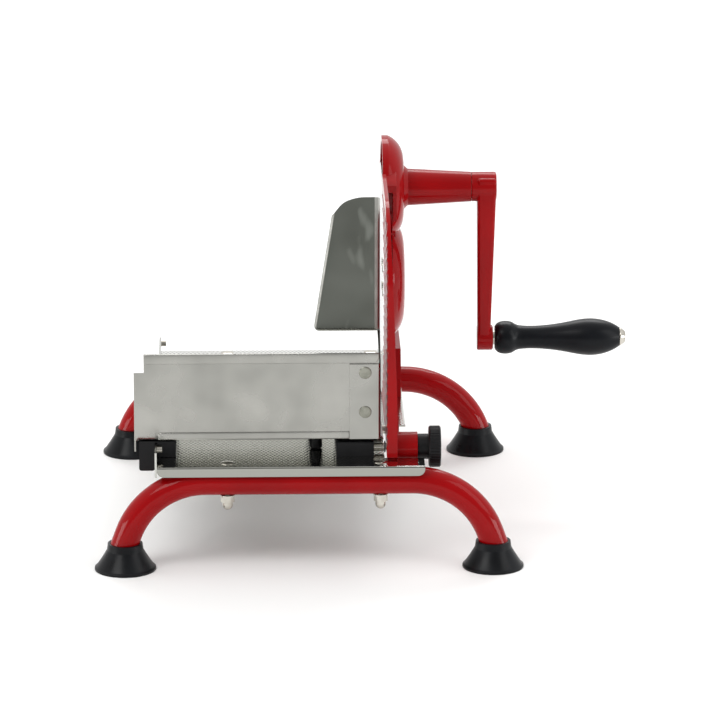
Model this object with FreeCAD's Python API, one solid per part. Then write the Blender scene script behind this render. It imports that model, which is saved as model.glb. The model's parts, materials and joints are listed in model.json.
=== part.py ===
import FreeCAD, Part
import math
import os

os.makedirs("parts", exist_ok=True)

V = FreeCAD.Vector
AX, AY, AZ = V(1, 0, 0), V(0, 1, 0), V(0, 0, 1)

# Standing frame: two bent tubes on suction feet
foot_spacing_x = 294.0      # between foot centres, left to right
foot_spacing_y = 320.0      # between the front and the rear tube
tube_r = 11.0
tube_wall = 1.5
front_tube_z = 72.5         # axis of the level run
rear_tube_z = 63.0          # the rear tube is lower, under taller saddles
tube_bend_r = 66.0
leg_turn = 70.0             # degrees the tube turns down from level
foot_rim_r = 24.5
foot_height = 21.5
foot_collar_r = 13.9
foot_socket_z = 8.0         # the tube stands on this floor inside the foot
foot_cavity_h = 4.5

# Base plate and what fastens it to the tubes
saddle_gap = 2.5            # plate underside above the tube's crown
plate_t = 1.5
plate_left = -121.0
plate_right = 80.0
plate_tab_right = 92.0
plate_tab_depth = 23.0
plate_overhang = 12.5       # past the front tube's axis
plate_rear_overhang = 8.0
plate_flange_h = 8.0
notch_gap = 1.5             # plate cut clear of the gauge's face
notch_rear_y = -58.0
bolt_x_left = -65.0
bolt_x_right = 57.0
bolt_r = 3.0
bolt_head_r = 5.5
bolt_head_h = 2.4
nut_r = 5.5
nut_h = 5.0
cap_nut_dome_r = 4.3
washer_r = 6.0
washer_t = 1.2

# Carriage rail on the left edge
rail_t = 1.6
rail_up = 12.0              # above the plate
rail_down = 8.5             # below the plate's top
rail_stop_r = 2.5
rail_stop_len = 4.0

# Blade and gears, all turning about axes along X
blade_r = 95.0
blade_y = 40.0
blade_z = 186.0
blade_face_x = 62.5
blade_t = 1.5
blade_dish = 2.5
blade_hub_r = 36.0
blade_bore_r = 9.0
gear_module = 1.5
blade_teeth = 57
crank_teeth = 45
gear_w = 5.0
gear_backlash = 0.25
gear_hub_r = 20.0
axle_r = 5.0
axle_bush_wall = 2.0
axle_screw_head_r = 8.0
blade_screw_r = 2.0
crank_pin_r = 2.0
rivet_r = 2.0               # rivets and small screws of the carriage
cover_t = 0.8
shaft_r = 6.0
bush_wall = 3.0
bush_len = 16.0

# Gear housing
guard_gap = 3.0             # blade edge to guard rim
guard_wall = 5.0
web_t = 3.0
dome_wall = 4.1
crank_ring_r = 42.9         # rim of the housing round the crank gear
dome_height = 7.0           # dome crown past the gear cavity
boss_root_r = 15.25
boss_end_r = 12.3
boss_end_x = 136.6
pedestal_front_y = 22.0
pedestal_rear_y = 124.0
pedestal_h = 16.0
housing_screw_r = 2.5

# Thickness gauge
gauge_face_x = 62.0
gauge_foot_t = 8.6          # thickness at the bottom edge
gauge_head_t = 3.0          # thickness at the top edge
gauge_front_y = -154.0
gauge_rear_y = -14.0
gauge_top_z = 287.0
gauge_clear_z = 1.5         # above the base plate
gauge_corner_r = 62.0
gauge_rib_pitch = 9.0
gauge_rib_depth = 0.8
gauge_rib_w = 3.0
spindle_y = -134.0
spindle_r = 3.5
bush_skin = 1.2             # wall of the brass bushes in the guide blocks
gauge_boss_r = 11.8
gauge_boss_end_x = 87.0
knob_collar_r = 10.2
knob_collar_len = 8.8
knob_r = 16.6
knob_w = 9.6
knob_grips = 40
block_left = 22.0
block_right = 52.0
block_depth = 22.0
block_screw_r = 2.0
block_top_gap = 1.5         # under the tray
rear_rod_y = -86.0

# Crank
crank_arm_len = 129.0
crank_hub_r = 12.2
crank_hub_len = 20.8
arm_left_x = 141.5
arm_end_t = 11.6
arm_top_w = 24.4
arm_end_w = 19.0
arm_end_boss_r = 10.5
arm_end_boss_t = 14.0
grip_start_gap = 1.6
grip_len = 103.5
grip_ball_r = 13.7
grip_neck_r = 9.8
grip_belly_r = 15.3
grip_end_r = 7.8
cap_len = 4.7
grip_spindle_r = 4.0

# Carriage
sheet_t = 1.2
tray_top_z = 102.2
wall_front_y = -145.0
wall_left = -139.0
wall_right = 56.0
wall_top_z = 173.5
hem_h = 8.0
hem_left = -131.0
wall_notch_z = 158.0
tray_left = -136.0
tray_right = 59.5
tray_rear_y = -25.0
side_flange_depth = 14.0
side_flange_low_z = 93.0
shoe_left = -135.4
shoe_right = -106.0
shoe_len = 34.0
shoe_bottom_z = 76.5
glide_x = 6.0
glide_r = 5.0
guard_web_x = 56.2
guard_shield_y = -118.0
guard_shield_low_z = 182.5
guard_shield_top_z = 294.0
guard_shield_left = 3.0
guard_shield_top_left = 18.0
guard_strip_left = 32.5
guard_flange = 3.0
guard_rivet_x = 45.0
guard_rivet_z_high = 157.5
guard_rivet_z_low = 125.0
rivet_head_r = 5.0
carriage_travel = 190.0

# Clearances
run_fit = 0.05              # turning and sliding fits, each side
seat_gap = 0.1              # fixed pieces seated in each other
slide_gap = 0.25            # sliding faces

# Sizes worked out from those above
front_y = -foot_spacing_y / 2
rear_y = foot_spacing_y / 2
plate_bottom_z = front_tube_z + tube_r + saddle_gap
plate_top_z = plate_bottom_z + plate_t
plate_front_y = front_y - plate_overhang
plate_rear_y = rear_y + plate_rear_overhang
blade_pitch_r = gear_module * blade_teeth / 2
crank_pitch_r = gear_module * crank_teeth / 2
crank_z = blade_z + blade_pitch_r + crank_pitch_r
blade_hub_x = blade_face_x + blade_dish
blade_back_x = blade_hub_x + blade_t
cover_x = blade_back_x + 0.6
gear_x = cover_x + cover_t + 0.6
cavity_x = gear_x + gear_w + 0.5
blade_cavity_r = blade_pitch_r + gear_module + 1.0
crank_cavity_r = crank_pitch_r + gear_module + 1.0
blade_dome_r = blade_cavity_r + dome_wall
crank_case_r = crank_cavity_r + dome_wall
dome_x = cavity_x + dome_height
guard_in_r = blade_r + guard_gap
guard_out_r = guard_in_r + guard_wall
web_x = cavity_x - web_t
rim_x = blade_face_x + 0.5
hub_end_x = boss_end_x + run_fit * 4 + crank_hub_len
handle_z = crank_z - crank_arm_len
arm_end_x = arm_left_x + arm_end_boss_t
grip_x = arm_end_x + grip_start_gap
cap_x = grip_x + grip_len + slide_gap
cap_end_x = cap_x + cap_len
knob_x = gauge_boss_end_x + slide_gap
knob_end_x = knob_x + knob_collar_len + knob_w
tray_bottom_z = tray_top_z - sheet_t
gauge_bottom_z = plate_top_z + gauge_clear_z
spindle_z = plate_top_z + spindle_r + bush_skin + 0.2
notch_left = gauge_face_x - notch_gap
shoe_front_y = wall_front_y + sheet_t + seat_gap
rail_x = plate_left - rail_t
# The frame's origin lies midway between the left feet's rims and the handle's end
origin_x = (cap_end_x - foot_spacing_x / 2 - foot_rim_r) / 2


def box(x0, x1, y0, y1, z0, z1):
    return Part.makeBox(x1 - x0, y1 - y0, z1 - z0, V(x0, y0, z0))


def rod_x(r, x0, x1, y, z):
    return Part.makeCylinder(r, x1 - x0, V(x0, y, z), AX)


def rod_y(r, y0, y1, x, z):
    return Part.makeCylinder(r, y1 - y0, V(x, y0, z), AY)


def rod_z(r, z0, z1, x, y):
    return Part.makeCylinder(r, z1 - z0, V(x, y, z0), AZ)


def hexagon_z(r, z0, z1, x, y):
    points = [V(x + r * math.cos(i * math.pi / 3), y + r * math.sin(i * math.pi / 3), z0)
              for i in range(7)]
    return Part.Face(Part.makePolygon(points)).extrude(V(0, 0, z1 - z0))


def turned_x(profile, y, z):
    """Revolve (x, radius) points about the line along X through y, z."""
    points = [V(x, y + r, z) for x, r in profile]
    face = Part.Face(Part.makePolygon(points + points[:1]))
    return face.revolve(V(0, y, z), AX, 360)


def plate_x(outline, x0, x1):
    """Extrude a closed (y, z) outline along X."""
    points = [V(x0, y, z) for y, z in outline]
    face = Part.Face(Part.makePolygon(points + points[:1]))
    return face.extrude(V(x1 - x0, 0, 0))


def plate_y(outline, y0, y1):
    """Extrude a closed (x, z) outline along Y."""
    points = [V(x, y0, z) for x, z in outline]
    face = Part.Face(Part.makePolygon(points + points[:1]))
    return face.extrude(V(0, y1 - y0, 0))


def save(name, shape):
    solids = shape.Solids
    moved = Part.makeCompound(solids) if len(solids) > 1 else solids[0]
    moved = moved.copy()
    moved.translate(V(-origin_x, 0, 0))
    moved.exportStep("parts/%s.step" % name)
    print(name, len(solids), round(moved.Volume), moved.isValid())


# Standing frame

def tube_z(y):
    return front_tube_z if y < 0 else rear_tube_z


def leg_run(y):
    """Sideways run of the straight leg, from the bend's end down to the foot's collar."""
    turn = math.radians(leg_turn)
    bend_end_z = tube_z(y) - tube_bend_r * (1 - math.cos(turn))
    return (bend_end_z - foot_height) / math.tan(turn)


def tube_path(y, r):
    """One foot tube's solid of radius r, from the left foot to the right one."""
    turn = math.radians(leg_turn)
    half = foot_spacing_x / 2 - leg_run(y) - tube_bend_r * math.sin(turn)
    bend_z = tube_z(y) - tube_bend_r
    bend_end = V(half + tube_bend_r * math.sin(turn), y, bend_z + tube_bend_r * math.cos(turn))
    bend_mid = V(half + tube_bend_r * math.sin(turn / 2), y, bend_z + tube_bend_r * math.cos(turn / 2))
    drop = bend_end.z + tube_r
    leg_end = V(bend_end.x + drop / math.tan(turn), y, bend_end.z - drop)

    def left(p):
        return V(-p.x, p.y, p.z)

    top_right = V(half, y, tube_z(y))
    edges = [Part.makeLine(left(leg_end), left(bend_end)),
             Part.Arc(left(bend_end), left(bend_mid), left(top_right)).toShape(),
             Part.makeLine(left(top_right), top_right),
             Part.Arc(top_right, bend_mid, bend_end).toShape(),
             Part.makeLine(bend_end, leg_end)]
    path = Part.Wire(edges)
    start = left(leg_end)
    ring = Part.Wire([Part.makeCircle(r, start, left(bend_end) - start)])
    return path.makePipeShell([ring], True, False)


def foot_tube(y):
    tube = tube_path(y, tube_r).cut(tube_path(y, tube_r - tube_wall))
    floor = box(-foot_spacing_x, foot_spacing_x, y - 30, y + 30, -40, foot_socket_z)
    tube = tube.cut(floor)
    for x in (bolt_x_left, bolt_x_right):
        tube = tube.cut(rod_z(bolt_r + seat_gap, tube_z(y) - 2 * tube_r, tube_z(y) + 2 * tube_r, x, y))
    return tube


def suction_foot(side, y):
    """Bell with a hollow under it and a leaning socket for the tube."""
    x = side * foot_spacing_x / 2
    lip_z = 1.6
    profile = [V(x, y, foot_cavity_h), V(x + 7, y, foot_cavity_h), V(x + 20.5, y, 0), V(x + foot_rim_r, y, 0),
               V(x + foot_rim_r, y, lip_z), V(x + foot_rim_r - 1.4, y, lip_z + 1.2)]
    flank_mid = V(x + 18.9, y, 9.0)
    collar_low = V(x + foot_collar_r + 0.7, y, 16.2)
    edges = [Part.makeLine(a, b) for a, b in zip(profile, profile[1:])]
    edges.append(Part.Arc(profile[-1], flank_mid, collar_low).toShape())
    top = V(x + foot_collar_r, y, foot_height)
    edges += [Part.makeLine(collar_low, top), Part.makeLine(top, V(x, y, foot_height)),
              Part.makeLine(V(x, y, foot_height), profile[0])]
    cup = Part.Face(Part.Wire(edges)).revolve(V(x, y, 0), AZ, 360)
    socket = tube_path(y, tube_r + seat_gap)
    floor = box(x - 60, x + 60, y - 40, y + 40, -40, foot_socket_z - seat_gap)
    return cup.cut(socket.cut(floor))


def bolt_places():
    return [(x, y) for y in (front_y, rear_y) for x in (bolt_x_left, bolt_x_right)]


def saddle(x, y):
    block = box(x - 10, x + 10, y - 6, y + 6, tube_z(y) + tube_r - 4, plate_bottom_z)
    block = block.cut(rod_x(tube_r + run_fit, x - 12, x + 12, y, tube_z(y)))
    return block.cut(rod_z(bolt_r + seat_gap, tube_z(y), plate_top_z, x, y))


def nut_top_z(y):
    return tube_z(y) - tube_r - washer_t


def base_bolts():
    bolts = []
    for x, y in bolt_places():
        low = nut_top_z(y) - nut_h - 2.5
        head = Part.makeCone(bolt_head_r, bolt_head_r - 1.4, bolt_head_h, V(x, y, plate_top_z), AZ)
        drive = hexagon_z(1.8, plate_top_z + 0.8, plate_top_z + 4, x, y)
        bolts.append(head.fuse(rod_z(bolt_r, low, plate_top_z, x, y)).cut(drive))
    return Part.makeCompound(bolts)


def base_washers():
    rings = []
    for x, y in bolt_places():
        top = nut_top_z(y) + washer_t
        ring = rod_z(washer_r, top - washer_t, top, x, y).cut(rod_z(bolt_r + seat_gap, 0, 90, x, y))
        rings.append(ring)
    return Part.makeCompound(rings)


def cap_nuts():
    nuts = []
    for x, y in bolt_places():
        top = nut_top_z(y)
        dome = Part.makeSphere(cap_nut_dome_r, V(x, y, top - nut_h - 2.2))
        body = hexagon_z(nut_r, top - nut_h, top, x, y)
        body = body.fuse(rod_z(cap_nut_dome_r, top - nut_h - 2.2, top - nut_h, x, y)).fuse(dome)
        nuts.append(body.cut(rod_z(bolt_r + seat_gap / 2, top - nut_h - 2.8, top + 1, x, y)))
    return Part.makeCompound(nuts)


def base_plate():
    sheet = box(plate_left, plate_right, plate_front_y, plate_rear_y, plate_bottom_z, plate_top_z)
    tab = box(plate_right - 2, plate_tab_right, plate_front_y, plate_front_y + plate_tab_depth,
              plate_bottom_z, plate_top_z)
    sheet = sheet.fuse(tab)
    low = plate_top_z - plate_flange_h
    front = box(plate_left, plate_tab_right, plate_front_y, plate_front_y + plate_t, low, plate_bottom_z)
    rear = box(plate_left, plate_right, plate_rear_y - plate_t, plate_rear_y, low, plate_bottom_z)
    notch = box(notch_left, plate_right + 1, plate_front_y + plate_tab_depth, notch_rear_y,
                plate_bottom_z - 1, plate_top_z + 1)
    plate = sheet.fuse([front, rear]).cut(notch).removeSplitter()
    long_edges = []
    for edge in plate.Edges:
        box_e = edge.BoundBox
        outer_y = abs(box_e.YMin - plate_front_y) < 0.01 or abs(box_e.YMax - plate_rear_y) < 0.01
        if outer_y and box_e.YLength < 0.01 and box_e.XLength > 100 and abs(box_e.ZMin - plate_top_z) < 0.01:
            long_edges.append(edge)
    plate = plate.makeFillet(plate_t * 0.9, long_edges)
    corner_edges = []
    for edge in plate.Edges:
        box_e = edge.BoundBox
        if abs(box_e.ZMin - low) < 0.01 and box_e.ZLength < 0.01 and box_e.XLength < 0.01:
            corner_edges.append(edge)
    plate = plate.makeFillet(plate_flange_h - plate_t - 1.0, corner_edges)
    for x, y in bolt_places():
        plate = plate.cut(rod_z(bolt_r + seat_gap, 60, 100, x, y))
    for y in block_screw_places():
        plate = plate.cut(rod_z(block_screw_r + seat_gap, 60, 100, block_centre_x(), y))
    for y in housing_screw_places():
        plate = plate.cut(rod_z(housing_screw_r + seat_gap, 60, 100, pedestal_mid_x(), y))
    return plate


def rail_rivet_places():
    count = 5
    step = (plate_rear_y - plate_front_y - 60) / (count - 1)
    return [plate_front_y + 30 + i * step for i in range(count)]


def carriage_rail():
    """Upright strip with a foot that lies under the plate's left edge."""
    strip = box(rail_x, plate_left, plate_front_y + 1, plate_rear_y - 1,
                plate_top_z - rail_down, plate_top_z + rail_up)
    foot = box(plate_left, plate_left + 12, plate_front_y + 4, plate_rear_y - 4,
               plate_bottom_z - rail_t, plate_bottom_z)
    rail = strip.fuse(foot)
    for x, y in bolt_places():
        rail = rail.cut(box(x - 12, x + 12, y - 9, y + 9, 60, plate_bottom_z))
    for y in rail_rivet_places():
        rail = rail.cut(rod_z(1.5, 60, 100, plate_left + 6, y))
    return rail.removeSplitter()


def rail_rivets():
    rivets = []
    x = plate_left + 6
    for y in rail_rivet_places():
        low = plate_bottom_z - rail_t
        shank = rod_z(1.5, low, plate_bottom_z, x, y)
        rivets.append(shank.fuse(Part.makeCone(2.0, 2.8, 1.0, V(x, y, low - 1.0), AZ)))
    return Part.makeCompound(rivets)


def rail_stop(y):
    z = plate_top_z + rail_up - rail_stop_r - 2
    return rod_x(rail_stop_r, plate_left, plate_left + rail_stop_len, y, z)


# Gear housing

def around(r, x0, x1, y=blade_y, z=blade_z):
    return rod_x(r, x0, x1, y, z)


def crowned(x0, edge, flank, crown, z):
    """Round crown over one gear: a rim at edge, then an arched flank to its flat middle, as (x, radius) points."""
    rim = V(edge[0], blade_y + edge[1], z)
    middle = V(flank[0], blade_y + flank[1], z)
    top = V(crown[0], blade_y + crown[1], z)
    edges = [Part.makeLine(V(x0, blade_y, z), V(x0, rim.y, z))]
    if edge[0] > x0:
        edges.append(Part.makeLine(V(x0, rim.y, z), rim))
    edges += [Part.Arc(rim, middle, top).toShape(), Part.makeLine(top, V(top.x, blade_y, z)),
              Part.makeLine(V(top.x, blade_y, z), V(x0, blade_y, z))]
    return Part.Face(Part.Wire(edges)).revolve(V(0, blade_y, z), AX, 360)


def blade_dome():
    r = blade_dome_r
    return crowned(web_x, (web_x, r), (cavity_x + dome_height * 0.45, r * 0.87), (dome_x, r * 0.45), blade_z)


def crank_dome():
    """Thin at its rim, so that the housing tapers towards the top."""
    thin_x = rim_x + 5.0
    return crowned(rim_x, (thin_x, crank_ring_r), (cavity_x + 0.9, crank_cavity_r + 2.0),
                   (dome_x, crank_ring_r * 0.5), crank_z)


def pedestal_mid_x():
    return (web_x + dome_x) / 2 - 1


def housing_screw_places():
    return [pedestal_front_y + 14, pedestal_rear_y - 14]


def gear_housing():
    web = around(guard_out_r, rim_x, cavity_x)
    # The front of the guard is cut back, so that slices drop clear
    slice_cut = box(rim_x - 1, dome_x + 1, blade_y - 2 * blade_r, blade_y - 6, 0, blade_z + 60)
    top_cut = box(rim_x - 1, dome_x + 1, blade_y - 2 * blade_r, blade_y - blade_dome_r - 1, 0, crank_z + 2 * blade_r)
    web = web.cut(slice_cut.fuse(top_cut))
    web = web.cut(box(rim_x - 1, dome_x, -300, 300, 0, plate_top_z))
    pedestal = plate_x([(pedestal_front_y, plate_top_z), (pedestal_rear_y, plate_top_z),
                        (pedestal_rear_y - 8, plate_top_z + pedestal_h),
                        (blade_y + 70, blade_z - 60), (blade_y - 6, blade_z - 60),
                        (pedestal_front_y, plate_top_z + pedestal_h)], web_x, dome_x - 2)
    body = web.fuse([blade_dome(), crank_dome()])
    pedestal_foot = box(rim_x, dome_x - 2, pedestal_front_y, pedestal_rear_y, plate_top_z,
                        plate_top_z + 3)
    ears = [rod_x(4.5, web_x - 2, cavity_x, y, z) for y, z in cover_screw_places()]
    body = body.fuse([pedestal, pedestal_foot] + ears)
    # Crank boss with a flared root
    boss = turned_x([(cavity_x, 0), (dome_x - 1, 0), (boss_end_x, 0), (boss_end_x, boss_end_r),
                     (dome_x + 3.5, boss_root_r), (dome_x - 0.5, boss_root_r + 4), (cavity_x, boss_root_r + 4)],
                    blade_y, crank_z)
    body = body.fuse(boss)
    # Hollows: blade recess, gear cavities, bores
    seat_x = cover_x + cover_t
    recess = around(guard_in_r, rim_x - 1, web_x)
    case = around(blade_dome_r, seat_x, web_x + 1).fuse(rod_x(crank_case_r, seat_x, web_x + 1, blade_y, crank_z))
    for y, z in cover_screw_places():
        case = case.fuse(rod_x(4.5, seat_x, web_x + 1, y, z))
    recess = recess.cut(case)
    gears = around(blade_cavity_r, seat_x - 1, cavity_x)
    gears = gears.fuse(rod_x(crank_cavity_r, seat_x - 1, cavity_x, blade_y, crank_z))
    cover_seat = cover_outline(rim_x - 1, seat_x, seat_gap)
    body = body.cut(recess.fuse([gears, cover_seat]))
    body = body.cut(rod_x(shaft_r + 0.6, cavity_x - 1, boss_end_x + 1, blade_y, crank_z))
    for x0 in bush_places():
        body = body.cut(rod_x(shaft_r + bush_wall, x0, x0 + bush_len, blade_y, crank_z))
    body = body.cut(rod_x(axle_r, cavity_x - 1, dome_x - 2.5, blade_y, blade_z))
    for y in housing_screw_places():
        body = body.cut(rod_z(housing_screw_r, plate_top_z - 1, plate_top_z + 14, pedestal_mid_x(), y))
    for y, z in cover_screw_places():
        body = body.cut(rod_x(1.5, gear_x - 1, gear_x + 4, y, z))
    return body.removeSplitter()


def bush_places():
    return [cavity_x + 2.0, boss_end_x - bush_len]


def cover_outline(x0, x1, grow):
    low = rod_x(blade_cavity_r + 2.0 + grow, x0, x1, blade_y, blade_z)
    high = rod_x(crank_cavity_r + 2.0 + grow, x0, x1, blade_y, crank_z)
    ears = [rod_x(4.0 + grow, x0, x1, y, z) for y, z in cover_screw_places()]
    return low.fuse([high] + ears)


def cover_screw_places():
    low_r = blade_cavity_r + 1.0
    high_r = crank_cavity_r + 1.0
    between = crank_z - blade_z
    rise = (low_r ** 2 - high_r ** 2 + between ** 2) / (2 * between)
    reach = math.sqrt(max(low_r ** 2 - rise ** 2, 0)) + 3.8
    return [(blade_y + reach, blade_z + rise), (blade_y - reach, blade_z + rise)]


def gear_cover_plate():
    cover = cover_outline(cover_x, cover_x + cover_t, 0)
    cover = cover.cut(around(gear_hub_r + 1.0, cover_x - 1, cover_x + 2))
    for y, z in cover_screw_places():
        cover = cover.cut(Part.makeCone(3.0, 1.5, cover_t, V(cover_x, y, z), AX))
    return cover.removeSplitter()


def cover_screws():
    screws = []
    for y, z in cover_screw_places():
        head = Part.makeCone(3.0, 1.5, cover_t, V(cover_x, y, z), AX)
        screws.append(head.fuse(rod_x(1.5, cover_x + cover_t, gear_x + 3.5, y, z)))
    return Part.makeCompound(screws)


def crank_bush(x0):
    outer = rod_x(shaft_r + bush_wall, x0, x0 + bush_len, blade_y, crank_z)
    return outer.cut(rod_x(shaft_r + run_fit, x0 - 1, x0 + bush_len + 1, blade_y, crank_z))


def blade_axle():
    axle = around(axle_r, gear_x - 0.9, dome_x - 2.5)
    return axle.cut(around(2.5, gear_x - 2, gear_x + 7))


def blade_axle_screw():
    head_x = gear_x - 0.9
    head = around(axle_screw_head_r, head_x - 1.6, head_x)
    head = head.fuse(around(2.5, head_x, gear_x + 6.5))
    slot = box(head_x - 2, head_x - 0.9, blade_y - 10, blade_y + 10, blade_z - 0.8, blade_z + 0.8)
    return head.cut(slot)


def housing_screws():
    screws = []
    for y in housing_screw_places():
        x = pedestal_mid_x()
        low = plate_bottom_z
        shank = rod_z(housing_screw_r, low, plate_top_z + 13, x, y)
        head = Part.makeCone(3.6, 4.6, 2.6, V(x, y, low - 2.6), AZ)
        screws.append(shank.fuse(head).cut(hexagon_z(1.6, low - 3, low - 1, x, y)))
    return Part.makeCompound(screws)


# Blade and gears

def gear(z, teeth, phase):
    """Spur gear about X with straight-flanked teeth; phase in tooth pitches."""
    pitch_r = gear_module * teeth / 2
    root_r = pitch_r - 1.25 * gear_module
    tip_r = pitch_r + gear_module
    pitch = 2 * math.pi / teeth
    half_root = pitch * 0.37
    half_pitch = pitch / 4 - gear_backlash / (2 * pitch_r)
    half_tip = pitch * 0.125
    points = []
    for i in range(teeth):
        middle = (i + phase) * pitch
        for r, a in ((root_r, -half_root), (pitch_r, -half_pitch), (tip_r, -half_tip),
                     (tip_r, half_tip), (pitch_r, half_pitch), (root_r, half_root)):
            angle = middle + a
            points.append((blade_y + r * math.sin(angle), z + r * math.cos(angle)))
    return plate_x(points, gear_x, gear_x + gear_w)


def blade_gear():
    body = gear(blade_z, blade_teeth, crank_teeth / 2 + 0.5)
    body = body.fuse(around(gear_hub_r, blade_back_x, gear_x))
    body = body.cut(around(axle_r + axle_bush_wall, blade_back_x - 1, cavity_x))
    body = body.cut(around(axle_screw_head_r + 0.4, blade_back_x - 1, gear_x - 0.7))
    for y, z in blade_screw_places():
        body = body.cut(rod_x(blade_screw_r, blade_back_x - 1, gear_x + gear_w + 1, y, z))
    return body


def blade_bush():
    x0 = gear_x - 0.7
    x1 = gear_x + gear_w
    outer = around(axle_r + axle_bush_wall, x0, x1)
    return outer.cut(around(axle_r + run_fit, x0 - 1, x1 + 1))


def blade_screw_places():
    ring = 14.5
    return [(blade_y + ring * math.cos(a), blade_z + ring * math.sin(a))
            for a in (math.pi / 4 + i * math.pi / 2 for i in range(4))]


def round_blade():
    flat_r = blade_r - 26
    edge_x = blade_face_x + 0.2
    disc = turned_x([(edge_x, blade_r), (blade_face_x, blade_r - 0.6), (blade_face_x, flat_r),
                     (blade_hub_x, blade_hub_r), (blade_hub_x, blade_bore_r), (blade_back_x, blade_bore_r),
                     (blade_back_x, blade_hub_r - 2), (blade_face_x + blade_t, flat_r - 1),
                     (blade_face_x + blade_t, blade_r - 9)], blade_y, blade_z)
    for y, z in blade_screw_places():
        disc = disc.cut(rod_x(2.0 + seat_gap, blade_face_x - 1, blade_back_x + 1, y, z))
    return disc


def blade_screws():
    screws = []
    for y, z in blade_screw_places():
        head = rod_x(3.5, blade_hub_x - 1.6, blade_hub_x, y, z)
        shank = rod_x(blade_screw_r, blade_hub_x, gear_x + gear_w - 0.5, y, z)
        slot = box(blade_hub_x - 2, blade_hub_x - 0.8, y - 5, y + 5, z - 0.5, z + 0.5)
        screws.append(head.fuse(shank).cut(slot))
    return Part.makeCompound(screws)


# Crank

def crank_shaft():
    shaft = rod_x(shaft_r, gear_x, hub_end_x - 3, blade_y, crank_z)
    shaft = shaft.cut(rod_x(2.5, gear_x - 1, gear_x + 9, blade_y, crank_z))
    x = crank_pin_x()
    return shaft.cut(rod_y(crank_pin_r, blade_y - 20, blade_y + 20, x, crank_z))


def crank_gear():
    body = gear(crank_z, crank_teeth, 0)
    return body.cut(rod_x(shaft_r, gear_x - 1, cavity_x + 1, blade_y, crank_z))


def crank_gear_screw():
    head = rod_x(7.5, gear_x - 0.55, gear_x, blade_y, crank_z)
    return head.fuse(rod_x(2.5, gear_x, gear_x + 8, blade_y, crank_z))


def crank_pin_x():
    return (boss_end_x + hub_end_x) / 2 - 3


def crank_arm():
    hub_x = boss_end_x + 4 * run_fit
    hub = rod_x(crank_hub_r, hub_x, hub_end_x, blade_y, crank_z)
    right = hub_end_x
    end_right = arm_left_x + arm_end_t

    def section(z, half_w, x0, x1):
        points = [V(x0, blade_y - half_w, z), V(x1, blade_y - half_w, z),
                  V(x1, blade_y + half_w, z), V(x0, blade_y + half_w, z)]
        return Part.makePolygon(points + points[:1])

    low = section(handle_z, arm_end_w / 2, arm_left_x + 1.0, end_right)
    top = section(crank_z, arm_top_w / 2 - 0.2, arm_left_x, right)
    arm = Part.makeLoft([low, top], True, True)
    end = rod_x(arm_end_boss_r, arm_left_x + 0.6, arm_end_x, blade_y, handle_z)
    edge = arm_end_w / 2
    arm = arm.cut(box(0, 300, blade_y - 40, blade_y + 40, handle_z - 40, handle_z))
    foot = rod_x(edge, arm_left_x + 1.0, end_right, blade_y, handle_z)
    body = hub.fuse([arm, end, foot]).removeSplitter()
    body = body.cut(rod_x(shaft_r, hub_x - 1, hub_end_x - 3, blade_y, crank_z))
    body = body.cut(rod_y(crank_pin_r, blade_y - 30, blade_y + 30, crank_pin_x(), crank_z))
    body = body.cut(rod_x(grip_spindle_r, arm_left_x - 1, arm_end_x + 1, blade_y, handle_z))
    return body


def crank_pin():
    reach = crank_hub_r - 0.5
    return rod_y(crank_pin_r, blade_y - reach, blade_y + reach, crank_pin_x(), crank_z)


def handle_spindle():
    spindle = rod_x(grip_spindle_r, arm_left_x + 0.6, cap_x, blade_y, handle_z)
    collar = rod_x(6.0, arm_end_x, grip_x - slide_gap, blade_y, handle_z)
    return spindle.fuse(collar)


def handle_cap():
    cap = turned_x([(cap_x, 0), (cap_x, grip_end_r - 0.1), (cap_x + 0.8, grip_end_r - 0.3),
                    (cap_end_x - 0.8, 5.2), (cap_end_x, 4.2), (cap_end_x, 0)], blade_y, handle_z)
    slot = box(cap_end_x - 1.0, cap_end_x + 1, blade_y - 6, blade_y + 6, handle_z - 0.7, handle_z + 0.7)
    return cap.cut(slot)


def handle_grip():
    """Ball end, waist and belly, turned about the spindle."""
    shape = [(0.0, 9.5), (3.2, 12.6), (9.0, grip_ball_r), (14.5, 12.6), (17.6, grip_neck_r + 1.0),
             (22.0, grip_neck_r), (38.0, grip_neck_r - 0.1), (58.0, 12.2), (78.0, grip_belly_r),
             (92.0, 13.4), (grip_len, grip_end_r)]
    points = [V(grip_x + x, blade_y + r, handle_z) for x, r in shape]
    curve = Part.BSplineCurve()
    curve.interpolate(points)
    bore = grip_spindle_r + run_fit
    start = V(grip_x, blade_y + bore, handle_z)
    end = V(grip_x + grip_len, blade_y + bore, handle_z)
    wire = Part.Wire([Part.makeLine(start, points[0]), curve.toShape(),
                      Part.makeLine(points[-1], end), Part.makeLine(end, start)])
    return Part.Face(wire).revolve(V(0, blade_y, handle_z), AX, 360)


# Thickness gauge

def block_centre_x():
    return (block_left + block_right) / 2 - 6


def block_screw_places():
    return [spindle_y + block_depth / 2 - 4.2, rear_rod_y + block_depth / 2 - 4.2]


def guide_block(y, bore):
    top = tray_bottom_z - block_top_gap
    block = box(block_left, block_right, y - block_depth / 2, y + block_depth / 2, plate_top_z, top)
    lid_edges = [e for e in block.Edges if e.BoundBox.XLength > 20 and e.BoundBox.ZMin > plate_top_z + 1]
    block = block.makeFillet(1.8, lid_edges)
    block = block.cut(rod_x(bore, block_left - 1, block_right + 1, y, spindle_z))
    screw_y = y + block_depth / 2 - 4.2
    return block.cut(rod_z(block_screw_r, plate_top_z - 1, plate_top_z + 8, block_centre_x(), screw_y))


def block_screws():
    screws = []
    for y in block_screw_places():
        x = block_centre_x()
        shank = rod_z(block_screw_r, plate_bottom_z, plate_top_z + 7, x, y)
        head = Part.makeCone(2.8, 3.6, 2.2, V(x, y, plate_bottom_z - 2.2), AZ)
        screws.append(shank.fuse(head))
    return Part.makeCompound(screws)


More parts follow.
